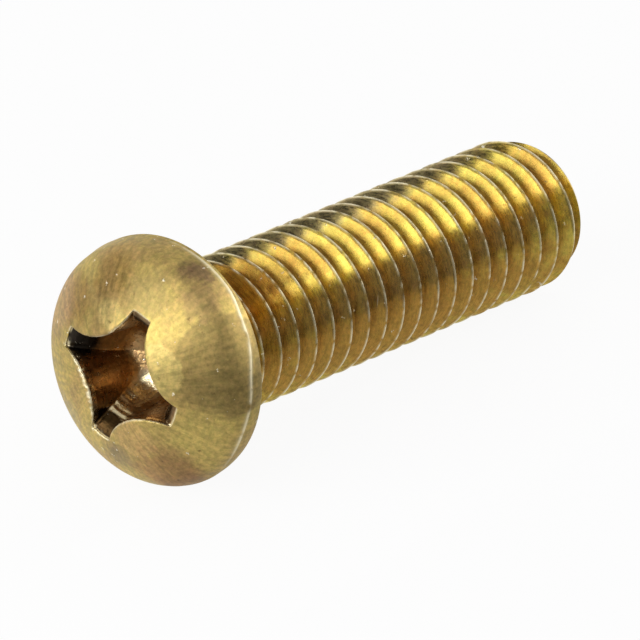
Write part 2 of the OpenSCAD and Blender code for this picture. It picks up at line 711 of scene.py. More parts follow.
@dataclass
class Shank:
    """The threaded shank with its chamfered end.

    The points of the root, the flanks and the crest are shares of the width and of the height
    that each of them has. Those of the tip's rounded edge are distances outside the tip's
    radius and back from the end.
    """

    crest_r: float = 2.95
    pitch: float = 1.0
    length: float = 20.8
    crest_share: float = 0.1
    root_share: float = 0.2
    root_dip: float = 0.03
    root_point: Pair = (0.6, 0.7)
    flank_points: tuple[float, ...] = (0.0, 0.3, 0.65, 0.93, 1.0)
    crest_points: tuple[Pair, ...] = ((0.0, 0.4), (0.45, 0.0), (1.0, 0.3))
    crest_wear: float = 0.05
    crest_phase: float = 0.2
    start_z: float = 0.225
    run_in_turns: float = 0.5
    spare_l: Pair = (0.1, 0.4)
    spare_turns: tuple[int, int] = (3, 2)
    tip_cut: float = 0.375
    tip_l: float = 0.9
    tip_round: tuple[Pair, ...] = ((0.06, 0.144), (0.02, 0.07), (-0.04, 0.02), (-0.12, 0.0))
    bar_share: float = 1.5
    turn_steps: int = 120
    bar_columns: int = 180

    def __post_init__(self) -> None:
        """Work out the thread form."""
        self.crest_w = self.crest_share * self.pitch
        self.root_w = self.root_share * self.pitch
        flank_w = (self.pitch - self.crest_w - self.root_w) / 2
        self.root_r = self.crest_r - flank_w * math.sqrt(3)
        self.core_r = self.root_r - self.root_dip
        self.first_ridge = (self.start_z + self.pitch / 2) / self.pitch - self.crest_phase

    def form(self) -> list[Pair]:
        """Draw the thread form from one root to the next.

        Returns:
            Places along the pitch and distances from the axis.
        """
        foot = self.root_w / 2
        half_crest = self.crest_w / 2
        middle = self.pitch / 2
        brow = middle - half_crest
        across, down = self.root_point
        root_point = (foot * across, self.root_r - self.root_dip * down)
        points = [(0.0, self.core_r), root_point]
        for share in self.flank_points:
            worn_r = self.crest_r - self.crest_wear
            points.append((blend(foot, brow, share), blend(self.root_r, worn_r, share)))
        for across, down in self.crest_points:
            points.append((middle + half_crest * across, self.crest_r - self.crest_wear * down))
        for share in reversed(self.flank_points[:-1]):
            points.append((
                self.pitch - blend(foot, brow, share),
                blend(self.root_r, self.crest_r, share),
            ))
        points.append((self.pitch - root_point[0], root_point[1]))
        points.append((self.pitch, self.core_r))
        return points

    def _profile(self) -> bpy.types.Object:
        """Draw one pitch of the thread form as an open line of edges.

        Returns:
            The line, below the start of the thread by the spare turns.
        """
        form = self.form()
        deselect_all()
        bpy.ops.mesh.primitive_circle_add(vertices=len(form), radius=1.0, fill_type="NOTHING")
        thread = bpy.context.object
        thread.name = "thread"
        bpy.ops.object.mode_set(mode="EDIT")
        line = bmesh.from_edit_mesh(thread.data)
        line.verts.ensure_lookup_table()
        for edge in line.edges:
            edge.select = {vertex.index for vertex in edge.verts} == {0, len(form) - 1}
        bpy.context.tool_settings.mesh_select_mode = (False, True, False)
        bpy.ops.mesh.delete(type="EDGE")
        line = bmesh.from_edit_mesh(thread.data)
        line.verts.ensure_lookup_table()
        below = (self.crest_phase - 0.5 - self.spare_turns[0]) * self.pitch
        for vertex, (along, radius) in zip(line.verts, form):
            vertex.co = (radius, 0, below + along)
        bmesh.update_edit_mesh(thread.data)
        bpy.ops.object.mode_set(mode="OBJECT")
        return thread

    def _sweep(self, thread: bpy.types.Object) -> None:
        """Sweep the thread form round the axis, past both ends of the shank.

        Args:
            thread: The line that is swept.
        """
        sweep = thread.modifiers.new("sweep", "SCREW")
        sweep.axis = "Z"
        sweep.angle = TURN
        sweep.screw_offset = self.pitch
        sweep.iterations = math.ceil(self.length / self.pitch) + sum(self.spare_turns)
        sweep.steps = self.turn_steps
        sweep.render_steps = self.turn_steps
        sweep.use_smooth_shade = True
        bpy.ops.object.modifier_apply(modifier=sweep.name)

    def _run_in(self, thread: bpy.types.Object) -> None:
        """Let the thread rise from the core to its full height in part of a turn.

        Args:
            thread: The swept skin.
        """
        for vertex in thread.data.vertices:
            radius = math.hypot(vertex.co.x, vertex.co.y)
            angle = math.atan2(vertex.co.y, vertex.co.x) / TURN
            turns = vertex.co.z / self.pitch - self.crest_phase
            ridge = angle + round(turns - angle)
            rise = min(1.0, max(0.0, (ridge - self.first_ridge) / self.run_in_turns))
            vertex.co.xy *= blend(self.core_r, radius, rise) / radius

    def _trim(self, thread: bpy.types.Object) -> None:
        """Cut the thread off inside the head and past the end, and close it.

        Args:
            thread: The swept skin.
        """
        weld(thread)
        bpy.ops.object.mode_set(mode="EDIT")
        low, high = self.start_z - self.spare_l[0], self.length + self.spare_l[1]
        for height, upwards in ((low, False), (high, True)):
            bpy.ops.mesh.select_all(action="SELECT")
            bpy.ops.mesh.bisect(
                plane_co=(0, 0, height),
                plane_no=(0, 0, 1),
                use_fill=True,
                clear_inner=not upwards,
                clear_outer=upwards,
            )
        bpy.ops.mesh.select_all(action="SELECT")
        bpy.ops.mesh.normals_make_consistent(inside=False)
        bpy.ops.object.mode_set(mode="OBJECT")

    def _bar_ring(self, radius: float, height: float) -> list[Vector]:
        """Draw a ring of the bar that the thread is cut to."""
        return even_ring(self.bar_columns, radius, height, math.pi / self.bar_columns)

    def _bar(self) -> bpy.types.Object:
        """Model the round bar with a chamfer that the end of the thread is cut to.

        Returns:
            A closed solid that is wider than the thread.
        """
        wide = self.crest_r * self.bar_share
        tip_r = self.crest_r - self.tip_cut
        slope = self.tip_l / self.tip_cut
        skin = RingSkin("bar", self._bar_ring(wide, -self.pitch))
        skin.draw([self._bar_ring(wide, self.length - slope * (wide - tip_r))])
        skin.draw([self._bar_ring(tip_r + out, self.length - back) for out, back in self.tip_round])
        return skin.close()

    def build(self) -> bpy.types.Object:
        """Model the shank as one closed solid on its own axis.

        Returns:
            The shank, in millimetres.
        """
        thread = self._profile()
        self._sweep(thread)
        self._run_in(thread)
        self._trim(thread)
        join_solids(thread, self._bar(), Join.KEEP_INSIDE)
        LOG.info("shank: %d faces", len(thread.data.polygons))
        return thread


Socket = bpy.types.NodeSocket
Colour = tuple[float, float, float]
Input = Socket | float | tuple[float, ...]


class Kind(Enum):
    """Type of a shader group's input or output."""

    VECTOR = "NodeSocketVector"
    NUMBER = "NodeSocketFloat"


class Graph:
    """A node tree that is wired up by short calls."""

    def __init__(self, tree: bpy.types.NodeTree) -> None:
        """Keep the tree that the calls add to."""
        self.tree = tree

    def add(
        self, kind: str, inputs: dict[str | int, Input] | None = None, **settings: object
    ) -> bpy.types.Node:
        """Add a node.

        Args:
            kind: Type name of the node.
            inputs: Sockets or plain values for its inputs, by name or number.
            settings: Properties of the node itself.

        Returns:
            The new node.
        """
        node = self.tree.nodes.new(kind)
        for name, value in settings.items():
            setattr(node, name, value)
        for name, value in (inputs or {}).items():
            self.feed(node.inputs[name], value)
        return node

    def feed(self, socket: Socket, value: Input) -> None:
        """Link a socket to an input, or set the input's plain value.

        Args:
            socket: The input.
            value: The socket or the plain value.
        """
        if isinstance(value, Socket):
            self.tree.links.new(value, socket)
        elif socket.type == "RGBA":
            socket.default_value = (*value, 1.0)
        else:
            socket.default_value = value

    def group(self, tree: bpy.types.NodeTree, inputs: dict[str, Input]) -> dict[str, Socket]:
        """Add a shared group.

        Args:
            tree: The group.
            inputs: Sockets or plain values by input name.

        Returns:
            The group's outputs by name.
        """
        node = self.add("ShaderNodeGroup", inputs, node_tree=tree)
        return dict(node.outputs.items())

    def math(self, operation: str, *values: Input) -> Socket:
        """Add a Math node and return its result."""
        return self.add("ShaderNodeMath", dict(enumerate(values)), operation=operation).outputs[0]

    def times(self, first: Input, second: Input) -> Socket:
        """Multiply two numbers."""
        return self.math("MULTIPLY", first, second)

    def vector(self, operation: str, *values: Input) -> Socket:
        """Add a Vector Math node and return its vector."""
        node = self.add("ShaderNodeVectorMath", dict(enumerate(values)), operation=operation)
        return node.outputs[0]

    def scaled(self, vector: Socket, scale: Input) -> Socket:
        """Multiply a vector by a number."""
        inputs = {0: vector, "Scale": scale}
        return self.add("ShaderNodeVectorMath", inputs, operation="SCALE").outputs[0]

    def length(self, vector: Socket) -> Socket:
        """Measure a vector."""
        node = self.add("ShaderNodeVectorMath", {0: vector}, operation="LENGTH")
        return node.outputs["Value"]

    def combined(self, *values: Input) -> Socket:
        """Make a vector of up to three numbers."""
        return self.add("ShaderNodeCombineXYZ", dict(enumerate(values))).outputs[0]

    def step(
        self, value: Input, low: Input, high: Input, to_low: Input = 0.0, to_high: Input = 1.0
    ) -> Socket:
        """Ease a value from one range to another, and hold it at the ends.

        Args:
            value: The value.
            low: Where the first range starts.
            high: Where it ends.
            to_low: Where the second range starts.
            to_high: Where it ends.

        Returns:
            The eased value.
        """
        node = self.add(
            "ShaderNodeMapRange",
            {"Value": value, "From Min": low, "From Max": high, "To Min": to_low, "To Max": to_high},
            interpolation_type="SMOOTHSTEP",
        )
        return node.outputs["Result"]

    def mix(self, share: Input, first: Input, second: Input, how: str = "MIX") -> Socket:
        """Mix two colours.

        Args:
            share: Share of the second colour.
            first: The first colour.
            second: The second colour.
            how: The way they are mixed.

        Returns:
            The mixed colour.
        """
        node = self.add("ShaderNodeMix", data_type="RGBA", blend_type=how)
        self.feed(node.inputs[0], share)
        self.feed(node.inputs[6], first)
        self.feed(node.inputs[7], second)
        return node.outputs[2]

    def noise(self, vector: Socket, scale: float, detail: float, rough: float) -> bpy.types.Node:
        """Add a noise texture and return it."""
        inputs = {"Vector": vector, "Scale": scale, "Detail": detail, "Roughness": rough}
        return self.add("ShaderNodeTexNoise", inputs)


class Group(Graph):
    """A shared shader group with named inputs and outputs."""

    def __init__(self, name: str, inputs: dict[str, Kind], outputs: dict[str, Kind]) -> None:
        """Start the group.

        Args:
            name: Name of the group.
            inputs: Kinds of the inputs by name.
            outputs: Kinds of the outputs by name.
        """
        super().__init__(bpy.data.node_groups.new(name, "ShaderNodeTree"))
        for side, sockets in (("INPUT", inputs), ("OUTPUT", outputs)):
            for socket, kind in sockets.items():
                self.tree.interface.new_socket(socket, in_out=side, socket_type=kind.value)
        self.given = self.add("NodeGroupInput").outputs
        self.result = self.add("NodeGroupOutput").inputs

    def put_out(self, results: dict[str, Socket]) -> bpy.types.NodeTree:
        """Link the results to the outputs.

        Args:
            results: Sockets by output name.

        Returns:
            The finished group.
        """
        for name, socket in results.items():
            self.feed(self.result[name], socket)
        return self.tree


SPOT_INPUTS = {
    "Place": Kind.VECTOR, "Per Millimetre": Kind.NUMBER, "Share": Kind.NUMBER, "Size": Kind.NUMBER,
}


@dataclass
class Effects:
    """The shared shader groups, each built once for a screw that lies at a given rest.

    Spot sizes are shares of the asked one, spot_core is the full part of a spot, and scratches
    are spots that are drawn out along X.
    """

    rest: Rest
    spot_sizes: Pair = (0.4, 1.3)
    spot_core: float = 0.35
    pit_wave_scale: float = 11.0
    pit_wave: float = 0.3
    scratch_squeeze: tuple[float, float, float] = (0.07, 1.0, 1.0)
    stain_and_painted_light_scale: float = 1.6

    def __post_init__(self) -> None:
        """Build all groups."""
        self.axes = self._axes()
        self.marks = self._marks()
        self.pits = self._pits()
        self.scratches = self._scratches()
        self.stain_and_painted_light = self._stain_and_painted_light()

    def _axes(self) -> bpy.types.NodeTree:
        """Build the group that gives places on the screw's own axes, in millimetres.

        Returns:
            The group.
        """
        group = Group("screw_axes", {}, {
            "Place": Kind.VECTOR, "Around": Kind.VECTOR, "Radius": Kind.NUMBER, "Along": Kind.NUMBER,
        })
        mapping = group.add(
            "ShaderNodeMapping",
            {
                "Vector": group.add("ShaderNodeTexCoord").outputs["Object"],
                "Location": tuple(self.rest.seat),
                "Rotation": tuple(self.rest.turn().to_euler()),
                "Scale": (MM, MM, MM),
            },
            vector_type="TEXTURE",
        )
        place = mapping.outputs[0]
        split = group.add("ShaderNodeSeparateXYZ", {0: place}).outputs
        flat = group.combined(split[0], split[1])
        return group.put_out({
            "Place": place,
            "Around": group.vector("NORMALIZE", flat),
            "Radius": group.length(flat),
            "Along": split[2],
        })

    def _marks(self) -> bpy.types.NodeTree:
        """Build the group of fine marks that run round the axis.

        Returns:
            The group.
        """
        group = Group(
            "turning_marks",
            {
                "Around": Kind.VECTOR, "Radius": Kind.NUMBER, "Along": Kind.NUMBER,
                "Lines": Kind.NUMBER, "Bits": Kind.NUMBER,
            },
            {"Mark": Kind.NUMBER},
        )
        given = group.given
        ways = group.scaled(given["Around"], given["Bits"])
        rise = group.combined(0.0, 0.0, group.times(given["Radius"], given["Lines"]))
        mark = group.add(
            "ShaderNodeTexNoise",
            {
                "Vector": group.vector("ADD", ways, rise),
                "W": group.times(given["Along"], given["Lines"]),
                "Scale": 1.0,
                "Detail": 3.0,
            },
            noise_dimensions="4D",
        )
        return group.put_out({"Mark": mark.outputs["Fac"]})

    def _spots(self, group: Group, place: Socket) -> Socket:
        """Scatter spots in the cells of a Voronoi pattern.

        Args:
            group: The group, with a density, a share and a size among its inputs.
            place: Where the pattern is read.

        Returns:
            1 in the middle of a chosen cell, and 0 off it.
        """
        given = group.given
        cells = group.add("ShaderNodeTexVoronoi", {"Vector": place, "Scale": given["Per Millimetre"]})
        dice = group.add("ShaderNodeSeparateColor", {0: cells.outputs["Color"]}).outputs
        chosen = group.math("LESS_THAN", dice[0], given["Share"])
        size = group.times(given["Size"], group.step(dice[1], 0.0, 1.0, *self.spot_sizes))
        away = group.math("DIVIDE", cells.outputs["Distance"], size)
        return group.times(chosen, group.step(away, self.spot_core, 1.0, 1.0, 0.0))

    def _pits(self) -> bpy.types.NodeTree:
        """Build the group of small scattered spots of irregular shape.

        Returns:
            The group.
        """
        group = Group("pits", SPOT_INPUTS, {"Pit": Kind.NUMBER})
        place = group.given["Place"]
        waves = group.noise(place, self.pit_wave_scale, detail=2.0, rough=0.5).outputs["Color"]
        bent = group.vector("ADD", place, group.scaled(waves, self.pit_wave))
        return group.put_out({"Pit": self._spots(group, bent)})

    def _scratches(self) -> bpy.types.NodeTree:
        """Build the group of short straight scratches in one direction.

        Returns:
            The group.
        """
        group = Group("scratches", {**SPOT_INPUTS, "Turn": Kind.VECTOR}, {"Scratch": Kind.NUMBER})
        mapping = group.add("ShaderNodeMapping", {
            "Vector": group.given["Place"],
            "Rotation": group.given["Turn"],
            "Scale": self.scratch_squeeze,
        })
        return group.put_out({"Scratch": self._spots(group, mapping.outputs[0])})

    def _stain_and_painted_light(self) -> bpy.types.NodeTree:
        """Build the group of one ragged patch round a place, used both for real discolouring and for
        painted shade, highlights and reflections.

        Returns:
            The group.
        """
        group = Group(
            "stain_and_painted_light",
            {
                "Place": Kind.VECTOR, "Middle": Kind.VECTOR, "Squeeze": Kind.VECTOR,
                "Size": Kind.NUMBER, "Ragged": Kind.NUMBER, "Core": Kind.NUMBER,
            },
            {"StainAndPaintedLight": Kind.NUMBER},
        )
        given = group.given
        waves = group.noise(given["Place"], self.stain_and_painted_light_scale, detail=6.0, rough=0.65).outputs["Fac"]
        wander = group.times(group.math("SUBTRACT", waves, 0.5), given["Ragged"])
        off = group.vector("SUBTRACT", given["Place"], given["Middle"])
        away = group.length(group.vector("MULTIPLY", off, given["Squeeze"]))
        share = group.math("DIVIDE", group.math("ADD", away, wander), given["Size"])
        return group.put_out({"StainAndPaintedLight": group.step(share, given["Core"], 1.0, 1.0, 0.0)})


@dataclass(frozen=True)
class Cloud:
    """Soft patches over a surface, from where a noise passes low to where it reaches high."""

    scale: float
    detail: float
    rough: float
    low: float
    high: float

    def mask(self, graph: Graph, place: Socket, most: float = 1.0) -> Socket:
        """Mask the patches.

        Args:
            graph: Where the nodes are added.
            place: Places on the screw's own axes.
            most: Value on the patches.

        Returns:
            That value on the patches and 0 off them.
        """
        waves = graph.noise(place, self.scale, self.detail, self.rough).outputs["Fac"]
        return graph.step(waves, self.low, self.high, 0.0, most)


@dataclass(frozen=True)
class StainAndPaintedLight:
    """One patch of colour: real discolouring on some, and painted shade, highlights and reflections on
    others, as their names say.

    Attributes:
        name: What it is, with sides as the camera sees them.
        middle: Its middle on the screw's own axes.
        size: Its radius.
        colour: Its colour.
        strength: How much it covers.
        ragged: How far its edge wanders.
        core: Share of its radius that is covered evenly.
        stretch: How much longer it is along the screw.
    """

    name: str
    middle: tuple[float, float, float]
    size: float
    colour: Colour
    strength: float
    ragged: float = 1.5
    core: float = 0.4
    stretch: float = 1.0


@dataclass(frozen=True)
class Specks:
    """One kind of small marks scattered over a surface.

    Attributes:
        per_mm: Cells of the scatter in a millimetre.
        share: Share of the cells that hold a mark.
        size: Size of a mark in its cell.
        colour: Colour of the marks.
        strength: How much they cover.
        depth: How deep they are, in millimetres, below 0 where they stand out.
        turn: Direction of scratches, as three angles, or nothing for pits.
    """

    per_mm: float
    share: float
    size: float
    colour: Colour
    strength: float
    depth: float
    turn: tuple[float, float, float] | None = None


TARNISH_CLOUD = Cloud(scale=0.6, detail=6.0, rough=0.62, low=0.38, high=0.66)
RUST_CLOUD = Cloud(scale=1.5, detail=5.0, rough=0.7, low=0.5, high=0.6)


@dataclass(frozen=True)
class Finish:
    """The surface of one zone of the brass.

    Attributes:
        name: Name of the material.
        colour: The plain colour.
        tarnish: Colour of the clouds on it.
        roughness: Roughness between the marks.
        grain: How much longer a highlight is across the marks that run round the axis.
        lines: Marks in a millimetre along the screw.
        bits: How short the marks are.
        mark_depth: Their depth in millimetres.
        streak: How much they vary the shade.
        mottle: How much fine blotches vary the shade.
        tint: How much fine blotches vary the hue.
        rough_spread: How the marks change the roughness.
        deep: Colour of the painted shade in the thread's roots, near the axis.
        painted_groove_shade_radii: Distances from the axis between which that colour fades.
        painted_groove_shade_strength: How much it covers.
        rust: How much rusty patches cover.
        rust_colour: Their colour.
        worn: Colour of worn places, which also paints the highlights on the crests, the rim crease, the
            recess edge and the torn wing.
        worn_rough: Roughness that is added there.
        stains_and_painted_light: The patches, both real discolouring and painted shade, highlights and
            reflections.
        specks: The kinds of small marks.
    """

    name: str
    colour: Colour
    tarnish: Colour
    roughness: float
    grain: float
    lines: float
    bits: float
    mark_depth: float
    streak: float
    mottle: float
    tint: float = 0.035
    rough_spread: Pair = (-0.05, 0.07)
    deep: Colour = (0.24, 0.11, 0.03)
    painted_groove_shade_radii: Pair = (0.0, 0.001)
    painted_groove_shade_strength: float = 0.0
    rust: float = 0.0
    rust_colour: Colour = (0.42, 0.2, 0.04)
    worn: Colour = (1.0, 0.92, 0.66)
    worn_rough: float = 0.15
    stains_and_painted_light: tuple[StainAndPaintedLight, ...] = ()
    specks: tuple[Specks, ...] = ()


class Coat(Graph):
    """The material of one finish, as it is wired up for one screw."""

    GRAIN_TURN = 0.25
    ROUGH_MARKS = (0.25, 0.75)
    STREAKS = (0.3, 0.7)
    BLOTCHES = (0.32, 0.68)
    HUES = (0.3, 0.7)

    def __init__(self, finish: Finish, effects: Effects) -> None:
        """Start the material, and read the places, the marks, and the worn places with their painted
        highlights.

        Args:
            finish: The finish.
            effects: The shared groups.
        """
        self.material = bpy.data.materials.new(finish.name)
        self.material.use_nodes = True
        super().__init__(self.material.node_tree)
        self.finish = finish
        self.effects = effects
        self.axes = self.group(effects.axes, {})
        self.place = self.axes["Place"]
        self.mark = self.group(effects.marks, {
            "Around": self.axes["Around"],
            "Radius": self.axes["Radius"],
            "Along": self.axes["Along"],
            "Lines": finish.lines,
            "Bits": finish.bits,
        })["Mark"]
        self.wear_and_highlight = self.add("ShaderNodeAttribute", attribute_name="wear_and_highlight").outputs["Fac"]

    def _vary(self, value: Socket, span: Pair, change: float) -> Socket:
        """Return 1 less a change where a value is low, and 1 with the change where it is high."""
        return self.step(value, *span, 1 - change, 1 + change)

    def _body(self) -> Socket:
        """Mix the plain colour, the tarnish, the rusty patches and the painted shade that darkens the
        roots near the axis.

        Returns:
            The colour before the patches of discolouring and painted light, the worn places with their
            painted highlights, and the specks.
        """
        finish = self.finish
        colour = self.mix(TARNISH_CLOUD.mask(self, self.place), finish.colour, finish.tarnish)
        rusty = RUST_CLOUD.mask(self, self.place, finish.rust)
        colour = self.mix(rusty, colour, finish.rust_colour)
        # painted shade: darker towards the axis, in the thread's roots
        painted_groove_shade = self.step(self.axes["Radius"], *finish.painted_groove_shade_radii, finish.painted_groove_shade_strength, 0.0)
        return self.mix(painted_groove_shade, colour, finish.deep)

    def _with_stains_and_painted_light(self, colour: Socket) -> Socket:
        """Lay the patches over a colour, both the real discolouring and the painted shade, highlights
        and reflections.

        Args:
            colour: The colour so far.

        Returns:
            The colour with its patches.
        """
        for stain_and_painted_light in self.finish.stains_and_painted_light:
            patch = self.group(self.effects.stain_and_painted_light, {
                "Place": self.place,
                "Middle": stain_and_painted_light.middle,
                "Squeeze": (1.0, 1.0, 1 / stain_and_painted_light.stretch),
                "Size": stain_and_painted_light.size,
                "Ragged": stain_and_painted_light.ragged,
                "Core": stain_and_painted_light.core,
            })["StainAndPaintedLight"]
            patch.node.label = stain_and_painted_light.name
            colour = self.mix(self.times(patch, stain_and_painted_light.strength), colour, stain_and_painted_light.colour)
        return colour

    def _mottled(self, colour: Socket) -> Socket:
        """Vary a colour in fine streaks and blotches.

        Args:
            colour: The colour so far.

        Returns:
            The varied colour.
        """
        waves = self.noise(self.place, scale=5.0, detail=4.0, rough=0.7).outputs["Color"]
        grit = self.add("ShaderNodeSeparateColor", {0: waves}).outputs
        shade = self.times(
            self._vary(self.mark, self.STREAKS, self.finish.streak),
            self._vary(grit[0], self.BLOTCHES, self.finish.mottle),
        )
        hues = [
            self.times(shade, self._vary(grit[channel], self.HUES, self.finish.tint))
            for channel in range(3)
        ]
        return self.mix(1.0, colour, self.combined(*hues), "MULTIPLY")

    def _scatter(self, specks: Specks) -> Socket:
        """Scatter one kind of specks or scratches.

        Args:
            specks: The kind.

        Returns:
            1 on a speck and 0 beside it.
        """
        inputs = {
            "Place": self.place,
            "Per Millimetre": specks.per_mm,
            "Share": specks.share,
            "Size": specks.size,
        }
        if specks.turn is None:
            return self.group(self.effects.pits, inputs)["Pit"]
        return self.group(self.effects.scratches, {**inputs, "Turn": specks.turn})["Scratch"]

    def _tangent(self) -> Socket:
        """Give the direction round the axis.

        Returns:
            The direction on the lying screw.
        """
        rest = self.effects.rest
        place = self.add("ShaderNodeTexCoord").outputs["Object"]
        outwards = self.vector("SUBTRACT", place, tuple(rest.seat))
        return self.vector("NORMALIZE", self.vector("CROSS_PRODUCT", tuple(rest.axis), outwards))

    def paint(self) -> bpy.types.Material:
        """Wire the finish up to the shader.

        Returns:
            The material, ready to assign.
        """
        colour = self._mottled(self._with_stains_and_painted_light(self._body()))
        # the worn colour paints bare brass, and painted highlights on the crests, the rim crease, the
        # recess edge and the torn wing
        colour = self.mix(self.wear_and_highlight, colour, self.finish.worn)
        height = self.times(self.mark, self.finish.mark_depth)
        for specks in self.finish.specks:
            spot = self._scatter(specks)
            colour = self.mix(self.times(spot, specks.strength), colour, specks.colour)
            height = self.math("SUBTRACT", height, self.times(spot, specks.depth))
        smoothest, roughest = (self.finish.roughness + change for change in self.finish.rough_spread)
        rough = self.step(self.mark, *self.ROUGH_MARKS, smoothest, roughest)
        bump = self.add("ShaderNodeBump", {"Height": height, "Distance": MM, "Strength": 1.0})
        inputs = {
            "Metallic": 1.0,
            "Anisotropic": self.finish.grain,
            "Anisotropic Rotation": self.GRAIN_TURN,
            "Roughness": self.math("ADD", rough, self.times(self.wear_and_highlight, self.finish.worn_rough)),
            "Base Color": colour,
            "Tangent": self._tangent(),
            "Normal": bump.outputs[0],
        }
        for name, value in inputs.items():
            self.feed(self.tree.nodes["Principled BSDF"].inputs[name], value)
        return self.material


DARK = (0.1, 0.06, 0.025)
PALE = (1.0, 0.95, 0.78)
SPECKLE = (
    Specks(1.4, 0.3, 0.13, DARK, 0.6, 0.004),
    Specks(3.8, 0.3, 0.2, DARK, 0.4, 0.002),
    Specks(2.6, 0.25, 0.17, PALE, 0.75, -0.008),
    Specks(0.9, 0.4, 0.05, DARK, 0.5, 0.008, (0.3, 0.4, 1.1)),
    Specks(1.3, 0.5, 0.055, PALE, 0.7, -0.008, (0.9, -0.5, 0.2)),
    Specks(1.2, 0.5, 0.055, PALE, 0.6, -0.008, (-0.4, 1.1, -0.7)),
)
HEAD_FINISH = Finish(
    name="domed_head",
    colour=(0.485, 0.37, 0.115),
    tarnish=(0.43, 0.295, 0.11),
    roughness=0.48,
    grain=0.5,
    lines=0.9,
    bits=26.0,
    mark_depth=0.0015,
    streak=0.13,
    mottle=0.18,
    stains_and_painted_light=(
        StainAndPaintedLight("brown sector, right", (-1.3, -3.95, -1.4), 2.0, (0.35, 0.255, 0.09), 0.95, 0.4, 0.93),
        StainAndPaintedLight("golden, lower right", (1.5, -3.5, -1.9), 1.7, (0.58, 0.45, 0.14), 0.8, 1.4, 0.3),
        StainAndPaintedLight("grey, lower left", (2.3, 2.7, -1.9), 1.1, (0.36, 0.3, 0.17), 0.6, 1.2, 0.2),
        # painted shade: dims the key highlight on the top of the dome
        StainAndPaintedLight("painted olive shade, top", (-3.3, -0.7, -2.3), 1.3, (0.36, 0.28, 0.1), 0.75, 1.0, 0.3),
        # painted highlight: golden light beside the nose of a lobe
        StainAndPaintedLight("painted golden highlight, nose of a lobe", (-0.75, -1.75, -2.6), 1.15, (0.55, 0.43, 0.15), 0.75, 0.6, 0.9),
        StainAndPaintedLight("pale, above the recess", (-2.3, 0.6, -2.6), 0.7, (0.68, 0.53, 0.2), 0.6, 0.9, 0.5),
        StainAndPaintedLight("orange lobe", (2.1, -0.9, -2.5), 1.0, (0.5, 0.34, 0.13), 0.7, 0.7, 0.8),
        StainAndPaintedLight("dark rim, top", (-4.3, -1.8, -0.8), 0.9, (0.2, 0.12, 0.07), 0.8, 1.8, 0.2),
        StainAndPaintedLight("dark, below the recess", (3.2, 0.1, -2.3), 1.0, (0.25, 0.19, 0.1), 0.7, 0.8, 0.2),
        StainAndPaintedLight("red brown, bottom", (3.6, -1.9, -1.9), 1.9, (0.3, 0.15, 0.07), 0.65),
        # painted reflection: this patch and the next draw the dark band that the dome mirrors
        StainAndPaintedLight("painted dark reflection, left", (-2.1, 2.6, -2.3), 1.3, (0.3, 0.18, 0.05), 0.6),
        StainAndPaintedLight("painted dark reflection, upper left", (-3.6, 1.2, -2.1), 1.3, (0.3, 0.18, 0.05), 0.6),
        StainAndPaintedLight("brown, upper right", (-3.5, -2.6, -1.5), 1.0, (0.3, 0.2, 0.09), 0.6),
        StainAndPaintedLight("pink, left", (-1.6, 3.8, -1.8), 1.6, (0.55, 0.36, 0.2), 0.5),
    ),
    specks=SPECKLE,
)
THREAD_FINISH = Finish(
    name="rolled_thread",
    colour=(0.58, 0.46, 0.09),
    tarnish=(0.5, 0.32, 0.065),
    roughness=0.27,
    grain=0.86,
    lines=16.0,
    bits=9.0,
    mark_depth=0.0015,
    streak=0.2,
    mottle=0.12,
    rust=0.3,
    worn_rough=0.03,
    # painted shade in the roots and lower flanks, fading out towards the crest
    painted_groove_shade_radii=(2.3, 2.75),
    painted_groove_shade_strength=0.7,
    stains_and_painted_light=(
        StainAndPaintedLight("brown by the head", (-2.5, -1.45, 2.4), 2.4, (0.3, 0.13, 0.02), 0.75, 2.5),
        StainAndPaintedLight("smear", (-2.22, -1.67, 4.0), 0.3, (0.12, 0.05, 0.012), 0.7, 0.5, 0.1, stretch=9.0),
        StainAndPaintedLight("brown below", (0.9, -2.8, 10.0), 2.4, (0.4, 0.22, 0.05), 0.85, 2.6, 0.4, stretch=6.0),
        # painted reflection: a dark band along the whole thread, where the flanks mirror dark
        # surroundings
        StainAndPaintedLight("painted dark reflection band", (-1.2, -2.7, 10.0), 1.0, (0.3, 0.19, 0.07), 0.75, 0.8, 0.5, stretch=13.0),
        StainAndPaintedLight("grey above", (-2.3, 1.8, 10.0), 2.3, (0.27, 0.22, 0.13), 0.8, 1.2, 0.6, stretch=6.0),
    ),
    specks=SPECKLE,
)
